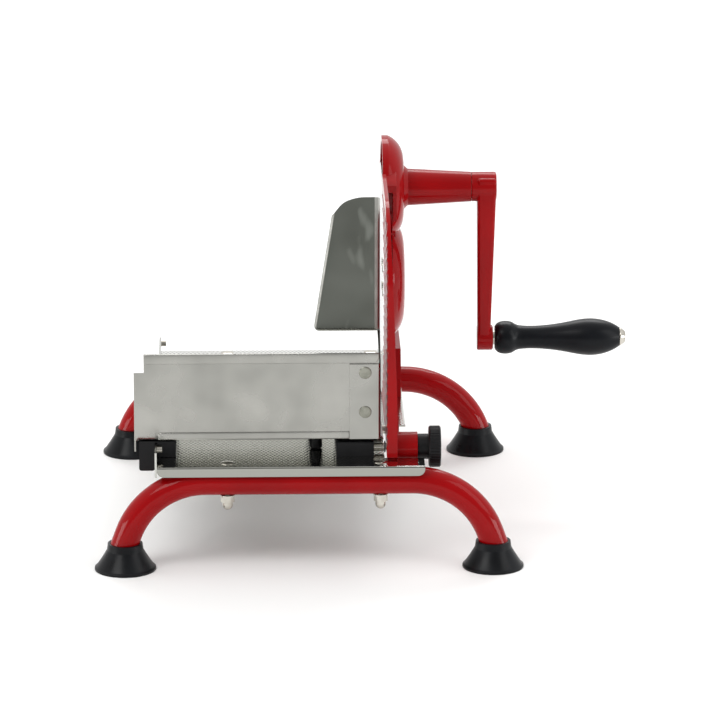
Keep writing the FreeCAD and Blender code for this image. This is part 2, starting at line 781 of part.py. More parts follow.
def guide_bush(y):
    bush = rod_x(spindle_r + bush_skin, block_left + 4, block_right, y, spindle_z)
    return bush.cut(rod_x(spindle_r + run_fit, block_left, block_right + 1, y, spindle_z))


def gauge_plate():
    low, top = gauge_bottom_z, gauge_top_z
    front, rear = gauge_front_y, gauge_rear_y
    r = gauge_corner_r
    x = gauge_face_x
    corner_mid = V(x, front + r * (1 - math.cos(math.pi / 4)), top - r * (1 - math.sin(math.pi / 4)))
    p = [V(x, front, low), V(x, front, top - r), V(x, front + r, top), V(x, rear, top), V(x, rear, low)]
    wire = Part.Wire([Part.makeLine(p[0], p[1]), Part.Arc(p[1], corner_mid, p[2]).toShape(),
                      Part.makeLine(p[2], p[3]), Part.makeLine(p[3], p[4]), Part.makeLine(p[4], p[0])])
    body = Part.Face(wire).extrude(V(gauge_foot_t, 0, 0))
    # The right face leans in towards the top
    lean = [(x + gauge_foot_t, low + 40), (x + gauge_head_t, top + 1), (x + 40, top + 1), (x + 40, low + 40)]
    body = body.cut(plate_y(lean, front - 1, rear + 1))
    # Hollow behind, so that the plate is a shell with a thick front edge
    hollow = plate_x([(front + 12, low + 30), (front + 12, top - r - 4), (front + r, top - 22),
                      (rear + 1, top - 22), (rear + 1, low + 30)], x + gauge_head_t, x + 40)
    hollow = hollow.cut(rod_x(guard_in_r + guard_wall + 6, x, x + 60, blade_y, blade_z))
    body = body.cut(hollow)
    body = body.cut(around(guard_in_r, x - 1, x + 60))
    body = body.cut(rod_x(blade_dome_r + guard_gap, x - 1, x + 60, blade_y, crank_z))
    # Ribs along the way that the food slides
    z = low + 10
    while z < top - 8:
        groove = box(x - 1, x + gauge_rib_depth, front - 1, rear + 1, z, z + gauge_rib_pitch - gauge_rib_w)
        body = body.cut(groove)
        z += gauge_rib_pitch
    # Round boss that carries the spindle
    boss = rod_x(gauge_boss_r, x + gauge_rib_depth + 0.2, gauge_boss_end_x, spindle_y, spindle_z)
    body = body.fuse(boss)
    rod_seat = rod_x(8.0, x + gauge_rib_depth + 0.2, x + gauge_foot_t + 3, rear_rod_y, spindle_z + 3.5)
    body = body.fuse(rod_seat.cut(box(0, 200, -300, 300, 0, low)))
    body = body.cut(rod_x(spindle_r + run_fit, x - 1, gauge_boss_end_x + 1, spindle_y, spindle_z))
    body = body.cut(rod_x(spindle_r, x - 1, x + gauge_foot_t + 1, rear_rod_y, spindle_z))
    return largest(body.removeSplitter())


def largest(shape):
    return max(shape.Solids, key=lambda s: s.Volume)


def gauge_rear_rod():
    return rod_x(spindle_r, block_left + 2, gauge_face_x + gauge_foot_t + 1, rear_rod_y, spindle_z)


def gauge_spindle():
    body = rod_x(spindle_r, block_left + 2, knob_end_x - 3, spindle_y, spindle_z)
    groove_x = gauge_face_x - 1.6
    groove = rod_x(spindle_r + 1, groove_x, groove_x + 1.2, spindle_y, spindle_z)
    groove = groove.cut(rod_x(spindle_r - 0.8, groove_x - 1, groove_x + 3, spindle_y, spindle_z))
    return body.cut(groove)


def spindle_ring():
    x = gauge_face_x - 1.5
    ring = rod_x(spindle_r + bush_skin, x, x + 1.0, spindle_y, spindle_z)
    ring = ring.cut(rod_x(spindle_r - 0.7, x - 1, x + 2, spindle_y, spindle_z))
    return ring.cut(box(x - 1, x + 2, spindle_y - 1.6, spindle_y + 1.6, spindle_z, spindle_z + 12))


def gauge_knob():
    collar = rod_x(knob_collar_r, knob_x, knob_x + knob_collar_len, spindle_y, spindle_z)
    wheel_x = knob_x + knob_collar_len
    wheel = turned_x([(wheel_x, 0), (wheel_x, knob_r - 1), (wheel_x + 1, knob_r),
                      (knob_end_x - 1, knob_r), (knob_end_x, knob_r - 1.2), (knob_end_x, 0)],
                     spindle_y, spindle_z)
    cuts = []
    for i in range(knob_grips):
        a = 2 * math.pi * i / knob_grips
        y = spindle_y + (knob_r + 0.35) * math.cos(a)
        z = spindle_z + (knob_r + 0.35) * math.sin(a)
        cuts.append(rod_x(0.8, wheel_x - 1, knob_end_x + 1, y, z))
    knob = wheel.cut(Part.makeCompound(cuts)).fuse(collar)
    return knob.cut(rod_x(spindle_r, knob_x - 1, knob_end_x - 3, spindle_y, spindle_z)).removeSplitter()


# Carriage

def carriage_sheet():
    back_y = wall_front_y + sheet_t
    outline = [(wall_left, tray_bottom_z), (wall_right, tray_bottom_z), (wall_right, wall_top_z),
               (hem_left, wall_top_z), (hem_left, wall_notch_z), (wall_left, wall_notch_z)]
    wall = plate_y(outline, wall_front_y, back_y)
    hem_y = wall_front_y - sheet_t
    hem = box(hem_left, wall_right, hem_y, wall_front_y, wall_top_z - hem_h, wall_top_z)
    corner = [e for e in hem.Edges if e.BoundBox.YLength > 1 and e.BoundBox.YLength < 2
              and e.BoundBox.XMin > wall_right - 0.1 and e.BoundBox.ZMax < wall_top_z - 1]
    hem = hem.makeFillet(hem_h * 0.6, corner)
    tray = box(tray_left, tray_right, wall_front_y, tray_rear_y, tray_bottom_z, tray_top_z)
    tray_edges = [e for e in tray.Edges if e.BoundBox.ZLength > 0.5 and e.BoundBox.YMin > tray_rear_y - 1]
    tray = tray.makeFillet(8.0, tray_edges)
    flange = plate_x([(wall_front_y, tray_bottom_z + 1), (wall_front_y, wall_notch_z),
                      (wall_front_y + side_flange_depth, wall_notch_z - 6),
                      (wall_front_y + side_flange_depth, tray_bottom_z),
                      (wall_front_y + 3, side_flange_low_z), (wall_front_y, side_flange_low_z)],
                     wall_left, wall_left + sheet_t)
    sheet = wall.fuse([hem, tray, flange])
    cuts = [rod_y(rivet_r, hem_y - 1, back_y + 1, guard_rivet_x, z)
            for z in (guard_rivet_z_low, guard_rivet_z_high)]
    for y in shoe_screw_places():
        cuts.append(rod_z(rivet_r, tray_bottom_z - 1, tray_top_z + 1, shoe_screw_x(), y))
    for y in glide_places():
        cuts.append(rod_z(rivet_r, tray_bottom_z - 1, tray_top_z + 1, glide_x, y))
    return sheet.cut(Part.makeCompound(cuts)).removeSplitter()


def shoe_starts():
    return [shoe_front_y, tray_rear_y - shoe_len - 4]


def shoe_screw_places():
    return [y + shoe_len / 2 for y in shoe_starts()]


def shoe_screw_x():
    return (rail_x + shoe_left) / 2 + 1


def slide_shoe(y):
    """Black shoe that straddles the rail and hangs under the tray."""
    top = tray_bottom_z - seat_gap
    shoe = box(shoe_left, shoe_right, y, y + shoe_len, shoe_bottom_z, top)
    groove = box(rail_x - slide_gap, plate_left + slide_gap, y - 1, y + shoe_len + 1,
                 shoe_bottom_z - 1, plate_top_z + rail_up + slide_gap)
    under = box(plate_left - 1, shoe_right + 1, y - 1, y + shoe_len + 1, shoe_bottom_z - 1,
                plate_top_z + slide_gap)
    shoe = shoe.cut(groove.fuse(under))
    corners = [e for e in shoe.Edges if e.BoundBox.YLength > shoe_len - 1
               and e.BoundBox.ZMax < shoe_bottom_z + 0.1]
    shoe = shoe.makeFillet(2.0, corners)
    return shoe.cut(rod_z(1.6, top - 10, top + 1, shoe_screw_x(), y + shoe_len / 2))


def shoe_screws():
    screws = []
    for y in shoe_screw_places():
        x = shoe_screw_x()
        head = Part.makeCone(3.6, 2.6, 1.6, V(x, y, tray_top_z), AZ)
        shank = rod_z(1.6, tray_bottom_z - 9, tray_top_z, x, y)
        screws.append(head.fuse(shank))
    return Part.makeCompound(screws)


def glide_places():
    return [wall_front_y + 24, tray_rear_y - 16]


def tray_glide(y):
    pad = rod_z(glide_r, plate_top_z + slide_gap, tray_bottom_z - seat_gap, glide_x, y)
    pad = pad.makeChamfer(1.2, [e for e in pad.Edges if e.BoundBox.ZMax < plate_top_z + 1
                                and e.BoundBox.XLength > glide_r])
    stem = rod_z(1.8, tray_bottom_z - 1, tray_top_z, glide_x, y)
    return pad.fuse(stem).fuse(rod_z(3.0, tray_top_z, tray_top_z + 0.8, glide_x, y))


def finger_guard():
    """Strip riveted to the wall, a web beside the blade and a shield facing the hand."""
    face_y = wall_front_y - sheet_t
    x1 = guard_web_x + sheet_t
    strip_top = wall_top_z - hem_h - 1.0
    strip = box(guard_strip_left, x1, face_y, wall_front_y, tray_bottom_z + 1.5, strip_top)
    web = plate_x([(face_y, tray_bottom_z + 1.5), (face_y, strip_top), (guard_shield_y - 20, strip_top + 4),
                   (guard_shield_y - 4, guard_shield_low_z), (guard_shield_y - 4, guard_shield_top_z - 4),
                   (guard_shield_y, guard_shield_top_z), (guard_shield_y + 6, guard_shield_top_z - 4),
                   (guard_shield_y + 6, tray_top_z + 2), (wall_front_y + sheet_t, tray_top_z + 2),
                   (wall_front_y + sheet_t, tray_bottom_z + 1.5)], guard_web_x, x1)
    low, top = guard_shield_low_z, guard_shield_top_z
    left, top_left = guard_shield_left, guard_shield_top_left
    curve_z = top - 15.0
    y = guard_shield_y
    p = [V(x1, y, low), V(left + 5, y, low), V(left, y, low + 5), V(top_left, y, curve_z),
         V(x1 - 17, y, top), V(x1, y, top)]
    crown = V(top_left + 8.7, y, top - 5.5)
    wire = Part.Wire([Part.makeLine(p[0], p[1]), Part.makeLine(p[1], p[2]), Part.makeLine(p[2], p[3]),
                      Part.Arc(p[3], crown, p[4]).toShape(), Part.makeLine(p[4], p[5]),
                      Part.makeLine(p[5], p[0])])
    shield = Part.Face(wire).extrude(V(0, sheet_t, 0))
    # Turned edges along the bottom and the slanted side
    hem = box(left + 5, x1, y - guard_flange, y, low, low + sheet_t)
    side = [(left, low + 5), (top_left, curve_z), (top_left + sheet_t, curve_z), (left + sheet_t, low + 5)]
    side = plate_y(side, y - guard_flange, y)
    guard = strip.fuse([web, shield, hem, side])
    for z in (guard_rivet_z_low, guard_rivet_z_high):
        guard = guard.cut(rod_y(rivet_r, face_y - 1, wall_front_y + 1, guard_rivet_x, z))
    return largest(guard.removeSplitter())


def guard_rivets():
    rivets = []
    face_y = wall_front_y - sheet_t
    for z in (guard_rivet_z_low, guard_rivet_z_high):
        head = Part.makeCone(rivet_head_r - 1, rivet_head_r, 0.8, V(guard_rivet_x, face_y - 0.8, z), AY)
        shank = rod_y(rivet_r, face_y, wall_front_y + sheet_t, guard_rivet_x, z)
        tail = rod_y(3.2, wall_front_y + sheet_t, wall_front_y + sheet_t + 1.0, guard_rivet_x, z)
        rivets.append(head.fuse([shank, tail]))
    return Part.makeCompound(rivets)


def build():
    save("front_foot_tube", foot_tube(front_y))
    save("rear_foot_tube", foot_tube(rear_y))
    for side, side_name in ((-1, "left"), (1, "right")):
        for y, y_name in ((front_y, "front"), (rear_y, "rear")):
            save("suction_foot_%s_%s" % (y_name, side_name), suction_foot(side, y))
    for i, (x, y) in enumerate(bolt_places()):
        save("saddle_%d" % (i + 1), saddle(x, y))
    save("base_bolts", base_bolts())
    save("base_washers", base_washers())
    save("cap_nuts", cap_nuts())
    save("base_plate", base_plate())
    save("carriage_rail", carriage_rail())
    save("rail_rivets", rail_rivets())
    save("rail_stop_front", rail_stop(shoe_front_y - rail_stop_r - slide_gap))
    save("rail_stop_rear", rail_stop(tray_rear_y - 4 + carriage_travel + rail_stop_r + slide_gap))
    save("gear_housing", gear_housing())
    save("gear_cover_plate", gear_cover_plate())
    save("cover_screws", cover_screws())
    save("crank_bush_inner", crank_bush(bush_places()[0]))
    save("crank_bush_outer", crank_bush(bush_places()[1]))
    save("blade_axle", blade_axle())
    save("blade_axle_screw", blade_axle_screw())
    save("housing_screws", housing_screws())
    save("guide_block_front", guide_block(spindle_y, spindle_r + bush_skin))
    save("guide_block_rear", guide_block(rear_rod_y, spindle_r + bush_skin))
    save("spindle_nut", guide_bush(spindle_y))
    save("guide_rod_bush", guide_bush(rear_rod_y))
    save("guide_block_screws", block_screws())
    save("gauge_plate", gauge_plate())
    save("gauge_rear_rod", gauge_rear_rod())
    save("gauge_knob", gauge_knob())
    save("gauge_spindle", gauge_spindle())
    save("spindle_ring", spindle_ring())
    save("round_blade", round_blade())
    save("blade_gear", blade_gear())
    save("blade_bush", blade_bush())
    save("blade_screws", blade_screws())
    save("crank_shaft", crank_shaft())
    save("crank_gear", crank_gear())
    save("crank_gear_screw", crank_gear_screw())
    save("crank_arm", crank_arm())
    save("crank_pin", crank_pin())
    save("handle_spindle", handle_spindle())
    save("handle_cap", handle_cap())
    save("handle_grip", handle_grip())
    save("carriage_sheet", carriage_sheet())
    for i, y in enumerate(shoe_starts()):
        save("slide_shoe_%s" % ("front", "rear")[i], slide_shoe(y))
    save("shoe_screws", shoe_screws())
    for i, y in enumerate(glide_places()):
        save("tray_glide_%s" % ("front", "rear")[i], tray_glide(y))
    save("finger_guard", finger_guard())
    save("guard_rivets", guard_rivets())


build()
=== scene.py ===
import json
import math

import bmesh
import bpy
from mathutils import Matrix, Vector


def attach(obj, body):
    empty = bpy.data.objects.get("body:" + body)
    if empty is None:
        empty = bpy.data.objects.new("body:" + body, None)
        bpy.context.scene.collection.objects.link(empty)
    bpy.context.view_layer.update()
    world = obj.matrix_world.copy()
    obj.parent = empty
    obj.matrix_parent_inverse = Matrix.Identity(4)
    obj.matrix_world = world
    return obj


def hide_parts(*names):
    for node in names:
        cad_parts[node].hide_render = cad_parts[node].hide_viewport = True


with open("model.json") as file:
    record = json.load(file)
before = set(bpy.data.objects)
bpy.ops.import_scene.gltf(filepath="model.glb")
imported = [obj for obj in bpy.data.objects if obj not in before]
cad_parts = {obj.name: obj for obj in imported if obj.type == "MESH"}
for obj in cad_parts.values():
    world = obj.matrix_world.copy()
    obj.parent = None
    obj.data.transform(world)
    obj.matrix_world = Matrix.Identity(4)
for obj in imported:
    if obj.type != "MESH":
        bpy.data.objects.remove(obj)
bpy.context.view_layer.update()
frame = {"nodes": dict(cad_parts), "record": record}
cadNodes = frame["nodes"]
print("frame loaded:", len(cadNodes), "nodes")

mm = 0.001        # the real sizes below are in millimetres
touching = 1e-6   # two places nearer than this, in metres, are the same
colourA, colourB, colourOut = 6, 7, 2   # the Mix node's colour sockets, as several sockets share each name
noiseSpan = {"From Min": 0.3, "From Max": 0.7}   # most of a noise's values lie between these


def hexColour(text):
    # sRGB hex to the linear colour that shaders use
    parts = [int(text[i:i + 2], 16) / 255 for i in (1, 3, 5)]
    linear = [p / 12.92 if p <= 0.04045 else ((p + 0.055) / 1.055) ** 2.4 for p in parts]
    return (*linear, 1.0)


def addNode(tree, kind, settings=None, links=None):
    # settings are the node's own, links fill its sockets with a number or another socket
    node = tree.nodes.new("ShaderNode" + kind)
    for name, value in (settings or {}).items():
        setattr(node, name, value)
    for name, value in (links or {}).items():
        if isinstance(value, bpy.types.NodeSocket):
            tree.links.new(value, node.inputs[name])
        else:
            node.inputs[name].default_value = value
    return node


def startMaterial(name, shaderValues):
    # a material with its shader and the object's own coordinates
    material = bpy.data.materials.new(name)
    material.use_nodes = True
    tree = material.node_tree
    shader = tree.nodes["Principled BSDF"]
    for socket, value in shaderValues.items():
        shader.inputs[socket].default_value = value
    coords = addNode(tree, "TexCoord").outputs["Object"]
    return material, tree, shader, coords


# stove enamel over cast aluminium and steel tube: a deep wet gloss with faint orange peel,
# slightly darker in broad patches
enamelLook = {"light": "#990005", "dark": "#8b0004", "patchMm": 45, "peelMm": 2.6, "castPeelMm": 0.015,
              "tubePeelMm": 0.0075, "edgeMm": 0.6}


def enamelOn(name, look, peelDeepMm):
    material, tree, shader, coords = startMaterial(name, {
        "Roughness": 0.5, "Specular IOR Level": 0.04, "IOR": 1.5,
        "Coat Weight": 0.75, "Coat Roughness": 0.04, "Coat IOR": 1.28})
    patches = addNode(tree, "TexNoise", None, {
        "Vector": coords, "Scale": 1 / (look["patchMm"] * mm), "Detail": 3.0, "Roughness": 0.5})
    spread = addNode(tree, "MapRange", None, {"Value": patches.outputs["Fac"], **noiseSpan})
    red = addNode(tree, "Mix", {"data_type": "RGBA"}, {
        "Factor": spread.outputs["Result"],
        colourA: hexColour(look["dark"]), colourB: hexColour(look["light"])})
    tree.links.new(red.outputs[colourOut], shader.inputs["Base Color"])
    edge = addNode(tree, "Bevel", {"samples": 6}, {"Radius": look["edgeMm"] * mm})
    peel = addNode(tree, "TexNoise", None, {
        "Vector": coords, "Scale": 1 / (look["peelMm"] * mm), "Detail": 1.0, "Roughness": 0.5})
    skin = addNode(tree, "Bump", None, {
        "Height": peel.outputs["Fac"], "Distance": peelDeepMm * mm, "Strength": 1.0,
        "Normal": edge.outputs["Normal"]})
    tree.links.new(skin.outputs["Normal"], shader.inputs["Normal"])
    tree.links.new(skin.outputs["Normal"], shader.inputs["Coat Normal"])
    return material


castEnamel = enamelOn("redEnamelOnCastAluminium", enamelLook, enamelLook["castPeelMm"])
tubeEnamel = enamelOn("redEnamelOnSteelTube", enamelLook, enamelLook["tubePeelMm"])

# stainless sheet polished on a buffing belt: near mirror, with a soft ripple and wiping haze
mirrorLook = {"bright": "#cfcfcb", "dull": "#bdbdb8", "hazeMm": 38, "detail": 4, "smooth": 0.07,
              "hazed": 0.17, "rippleMm": 5.0, "rippleDeepMm": 0.03, "edgeMm": 0.3}
# the same stainless left as it was rolled: satin, softly clouded
wallLook = dict(mirrorLook, bright="#abaaa5", dull="#989893", smooth=0.24, hazed=0.33, hazeMm=48, detail=2,
                rippleMm=11, rippleDeepMm=0.008)
# the guard's face: stainless painted dark grey for the dim room it mirrors, a painted reflection, with
# slanting light streaks that are painted highlights
guardLook = dict(mirrorLook, bright="#5f615c", dull="#52544f", smooth=0.16, hazed=0.26, hazeMm=60, detail=2,
                 rippleDeepMm=0.01, highlightStreak="#8e918b", streakMm=14, streakSlant=0.45, streakNarrow=0.35)
# where the guard's sheet is bent over a former its skin is stretched and rougher than the flat; these bends
# and the doubled edge are also painted lighter, a painted highlight
rimHighlightLook = dict(guardLook, bright="#a6a6a1", dull="#989893", smooth=0.4, hazed=0.5, hazeMm=12)
# rivet heads, pressed cold: dull, a little yellow
rivetLook = dict(mirrorLook, bright="#9c9c92", dull="#85857b", smooth=0.3, hazed=0.42, hazeMm=6,
                 rippleDeepMm=0.01)


def polishedSheet(name, look):
    material, tree, shader, coords = startMaterial(name, {"Metallic": 1.0})
    haze = addNode(tree, "TexNoise", None, {
        "Vector": coords, "Scale": 1 / (look["hazeMm"] * mm), "Detail": look["detail"], "Roughness": 0.6})
    spread = addNode(tree, "MapRange", None, {"Value": haze.outputs["Fac"], **noiseSpan})
    sheen = addNode(tree, "Mix", {"data_type": "RGBA"}, {
        "Factor": spread.outputs["Result"],
        colourA: hexColour(look["bright"]), colourB: hexColour(look["dull"])})
    tone = sheen.outputs[colourOut]
    # painted highlights: a lighter colour laid in slanted streaks over the face
    if "highlightStreak" in look:
        slanted = addNode(tree, "Mapping", None, {
            "Vector": coords, "Rotation": (0, look["streakSlant"], 0), "Scale": (1, 1, look["streakNarrow"])})
        highlightNoise = addNode(tree, "TexNoise", None, {
            "Vector": slanted.outputs["Vector"], "Scale": 1 / (look["streakMm"] * mm), "Detail": 1.5,
            "Roughness": 0.5})
        highlightMask = addNode(tree, "MapRange", None, {
            "Value": highlightNoise.outputs["Fac"], "From Min": 0.6, "From Max": 0.76, "To Max": 0.75})
        paintedStreaks = addNode(tree, "Mix", {"data_type": "RGBA"}, {
            "Factor": highlightMask.outputs["Result"], colourA: tone, colourB: hexColour(look["highlightStreak"])})
        tone = paintedStreaks.outputs[colourOut]
    tree.links.new(tone, shader.inputs["Base Color"])
    dulling = addNode(tree, "MapRange", None, {
        "Value": haze.outputs["Fac"], **noiseSpan, "To Min": look["smooth"], "To Max": look["hazed"]})
    tree.links.new(dulling.outputs["Result"], shader.inputs["Roughness"])
    edge = addNode(tree, "Bevel", {"samples": 6}, {"Radius": look["edgeMm"] * mm})
    ripple = addNode(tree, "TexNoise", None, {
        "Vector": coords, "Scale": 1 / (look["rippleMm"] * mm), "Detail": 2.0, "Roughness": 0.5})
    skin = addNode(tree, "Bump", None, {
        "Height": ripple.outputs["Fac"], "Distance": look["rippleDeepMm"] * mm, "Strength": 1.0,
        "Normal": edge.outputs["Normal"]})
    tree.links.new(skin.outputs["Normal"], shader.inputs["Normal"])
    return material


mirrorSheet = polishedSheet("beltPolishedStainless", mirrorLook)
wallSheet = polishedSheet("satinRolledStainless", wallLook)
guardSheet = polishedSheet("dimReflectionPaintedStainless", guardLook)
rimHighlightSheet = polishedSheet("bentStainlessRimHighlight", rimHighlightLook)
rivetSteel = polishedSheet("pressedStainlessRivet", rivetLook)

# stainless plate rolled with rows of small dimples, so that wet food doesn't cling: mirrors break into
# specks; real dimples of this kind are finer, and these are drawn coarse enough to show
dimpleLook = {"acrossMm": 2.5, "alongMm": 5.0, "deepMm": 0.16, "bright": "#f2f2ee", "dull": "#b4b4af",
              "edge": "#9c9c96", "edgeMm": 0.3}


def dimpledSheet(name, look):
    material, tree, shader, coords = startMaterial(name, {"Metallic": 1.0, "Roughness": 0.09})
    # an eighth of a turn after the stretch sets every second row half a dimple over
    scaled = addNode(tree, "Mapping", None, {
        "Vector": coords, "Rotation": (0, 0, math.radians(45)),
        "Scale": (1 / (look["acrossMm"] * mm), 1 / (look["alongMm"] * mm), 1)})
    cells = addNode(tree, "TexVoronoi", {"voronoi_dimensions": "2D", "feature": "SMOOTH_F1"}, {
        "Vector": scaled.outputs["Vector"], "Scale": 1.0, "Randomness": 0.12, "Smoothness": 0.3})
    cup = cells.outputs["Distance"]
    # each dimple's hollow is painted duller than the flat between the dimples: painted shade in the hollows
    slope = addNode(tree, "MapRange", None, {"Value": cup, "From Min": 0.1, "From Max": 0.6})
    hollowShade = addNode(tree, "Mix", {"data_type": "RGBA"}, {
        "Factor": slope.outputs["Result"],
        colourA: hexColour(look["dull"]), colourB: hexColour(look["bright"])})
    # the dimples are rolled into the flat only; the folded edges are smooth, and painted darker where they
    # turn from the top, as painted shade
    facing = addNode(tree, "SeparateXYZ", None, {"Vector": addNode(tree, "TexCoord").outputs["Normal"]})
    flat = addNode(tree, "MapRange", None, {"Value": facing.outputs["Z"], "From Min": 0.8, "From Max": 0.96})
    steel = addNode(tree, "Mix", {"data_type": "RGBA"}, {
        "Factor": flat.outputs["Result"],
        colourA: hexColour(look["edge"]), colourB: hollowShade.outputs[colourOut]})
    tree.links.new(steel.outputs[colourOut], shader.inputs["Base Color"])
    edge = addNode(tree, "Bevel", {"samples": 6}, {"Radius": look["edgeMm"] * mm})
    skin = addNode(tree, "Bump", None, {
        "Height": cup, "Distance": look["deepMm"] * mm, "Strength": flat.outputs["Result"],
        "Normal": edge.outputs["Normal"]})
    tree.links.new(skin.outputs["Normal"], shader.inputs["Normal"])
    return material


dimpledPlate = dimpledSheet("dimpleRolledStainless", dimpleLook)

# hardened blade steel, face ground on a turning wheel: rings about the axle that catch the light;
# the real grit is finer, and its rings are drawn coarse enough to show
bladeLook = {"steel": "#c9cacb", "dark": "#a9abad", "axleY": 40, "axleZ": 186, "ringMm": 1.1,
             "ringDeepMm": 0.004, "smooth": 0.1, "rough": 0.24, "edgeMm": 0.2}


def groundSteel(name, look):
    material, tree, shader, coords = startMaterial(name, {"Metallic": 1.0})
    fromAxle = addNode(tree, "Mapping", None, {
        "Vector": coords, "Location": (0, -look["axleY"] * mm, -look["axleZ"] * mm)})
    inFace = addNode(tree, "VectorMath", {"operation": "MULTIPLY"}, {
        0: fromAxle.outputs["Vector"], 1: (0, 1, 1)})
    out = addNode(tree, "VectorMath", {"operation": "LENGTH"}, {0: inFace.outputs["Vector"]})
    ringAt = addNode(tree, "CombineXYZ", None, {"X": out.outputs["Value"]})
    rings = addNode(tree, "TexNoise", None, {
        "Vector": ringAt.outputs["Vector"], "Scale": 1 / (look["ringMm"] * mm), "Detail": 3.0,
        "Roughness": 0.7})
    spread = addNode(tree, "MapRange", None, {"Value": rings.outputs["Fac"], **noiseSpan})
    steel = addNode(tree, "Mix", {"data_type": "RGBA"}, {
        "Factor": spread.outputs["Result"],
        colourA: hexColour(look["dark"]), colourB: hexColour(look["steel"])})
    tree.links.new(steel.outputs[colourOut], shader.inputs["Base Color"])
    dulling = addNode(tree, "MapRange", None, {
        "Value": rings.outputs["Fac"], **noiseSpan, "To Min": look["smooth"], "To Max": look["rough"]})
    tree.links.new(dulling.outputs["Result"], shader.inputs["Roughness"])
    edge = addNode(tree, "Bevel", {"samples": 6}, {"Radius": look["edgeMm"] * mm})
    skin = addNode(tree, "Bump", None, {
        "Height": rings.outputs["Fac"], "Distance": look["ringDeepMm"] * mm, "Strength": 1.0,
        "Normal": edge.outputs["Normal"]})
    tree.links.new(skin.outputs["Normal"], shader.inputs["Normal"])
    return material


bladeSteel = groundSteel("ringGroundBladeSteel", bladeLook)


# moulded, turned and plated finishes: colour, how rough, and the grain that the tool left
def grainedFinish(name, look, shaderValues):
    material, tree, shader, coords = startMaterial(name, shaderValues)
    cloud = addNode(tree, "TexNoise", None, {
        "Vector": coords, "Scale": 1 / (look["cloudMm"] * mm), "Detail": 2.0, "Roughness": 0.5})
    spread = addNode(tree, "MapRange", None, {"Value": cloud.outputs["Fac"], **noiseSpan})
    colour = addNode(tree, "Mix", {"data_type": "RGBA"}, {
        "Factor": spread.outputs["Result"],
        colourA: hexColour(look["dark"]), colourB: hexColour(look["light"])})
    tree.links.new(colour.outputs[colourOut], shader.inputs["Base Color"])
    dulling = addNode(tree, "MapRange", None, {
        "Value": cloud.outputs["Fac"], **noiseSpan, "To Min": look["smooth"], "To Max": look["rough"]})
    tree.links.new(dulling.outputs["Result"], shader.inputs["Roughness"])
    stretched = addNode(tree, "Mapping", None, {"Vector": coords, "Scale": look["stretch"]})
    grain = addNode(tree, "TexNoise", None, {
        "Vector": stretched.outputs["Vector"], "Scale": 1 / (look["grainMm"] * mm), "Detail": 3.0,
        "Roughness": 0.6})
    edge = addNode(tree, "Bevel", {"samples": 6}, {"Radius": look["edgeMm"] * mm})
    skin = addNode(tree, "Bump", None, {
        "Height": grain.outputs["Fac"], "Distance": look["deepMm"] * mm, "Strength": 1.0,
        "Normal": edge.outputs["Normal"]})
    tree.links.new(skin.outputs["Normal"], shader.inputs["Normal"])
    return material


# nitrile rubber from a polished mould: deep black with a soft sheen, dusty where it is handled
rubber = grainedFinish("mouldedNitrileRubber", {
    "light": "#121417", "dark": "#0a0b0d", "cloudMm": 16, "smooth": 0.26, "rough": 0.42, "grainMm": 0.9,
    "deepMm": 0.02, "edgeMm": 0.5, "stretch": (1, 1, 1)}, {"Specular IOR Level": 0.16, "IOR": 1.52})
# glass filled nylon from a spark eroded mould: even, fine matt grain
nylon = grainedFinish("mouldedBlackNylon", {
    "light": "#141416", "dark": "#0d0d0f", "cloudMm": 12, "smooth": 0.36, "rough": 0.48, "grainMm": 0.7,
    "deepMm": 0.03, "edgeMm": 0.4, "stretch": (1, 1, 1)}, {"Specular IOR Level": 0.2, "IOR": 1.53})
# phenolic grip, turned and buffed to a satin: almost black, with faint turning waves
phenolic = grainedFinish("buffedPhenolicResin", {
    "light": "#0b0e13", "dark": "#06080c", "cloudMm": 20, "smooth": 0.32, "rough": 0.42, "grainMm": 3.0,
    "deepMm": 0.012, "edgeMm": 0.4, "stretch": (1.6, 0.5, 0.5)},
    {"Specular IOR Level": 0.12, "IOR": 1.6, "Coat Weight": 0.04, "Coat Roughness": 0.15})
# steel plated with bright nickel: warm mirror with tiny pits
nickel = grainedFinish("brightNickelPlate", {
    "light": "#cfcbc2", "dark": "#b6b1a7", "cloudMm": 6, "smooth": 0.1, "rough": 0.24, "grainMm": 0.8,
    "deepMm": 0.006, "edgeMm": 0.25, "stretch": (1, 1, 1)}, {"Metallic": 1.0})
# plain machined steel with an oil film: darker grey with cutter lines
machined = grainedFinish("machinedGearSteel", {
    "light": "#8f9092", "dark": "#727376", "cloudMm": 9, "smooth": 0.24, "rough": 0.38, "grainMm": 0.8,
    "deepMm": 0.01, "edgeMm": 0.2, "stretch": (0.2, 1, 1)}, {"Metallic": 1.0})
# sintered bronze, porous and oil soaked
bronze = grainedFinish("sinteredBronze", {
    "light": "#b98a4e", "dark": "#99703c", "cloudMm": 5, "smooth": 0.28, "rough": 0.46, "grainMm": 0.5,
    "deepMm": 0.02, "edgeMm": 0.2, "stretch": (1, 1, 1)}, {"Metallic": 1.0})
print("materials made:", len(bpy.data.materials))

finishOfSlot = {
    "red_enamel": castEnamel, "polished_stainless": mirrorSheet, "brushed_stainless": wallSheet,
    "blade_steel": bladeSteel, "black_rubber": rubber, "black_plastic": nylon, "grip_lacquer": phenolic,
    "bright_steel": nickel, "gear_steel": machined, "bearing_bronze": bronze}
finishOfNode = {
    "front_foot_tube": tubeEnamel, "rear_foot_tube": tubeEnamel, "crank_pin": castEnamel,
    "base_plate": dimpledPlate}
for part in frame["record"]["subparts"]:
    finish = finishOfNode.get(part["node"], finishOfSlot[part["material_slot"]])
    for materialSlot in cadNodes[part["node"]].material_slots:
        materialSlot.material = finish
print("CAD nodes finished")


# pieces made finer than their CAD nodes, all measured in millimetres

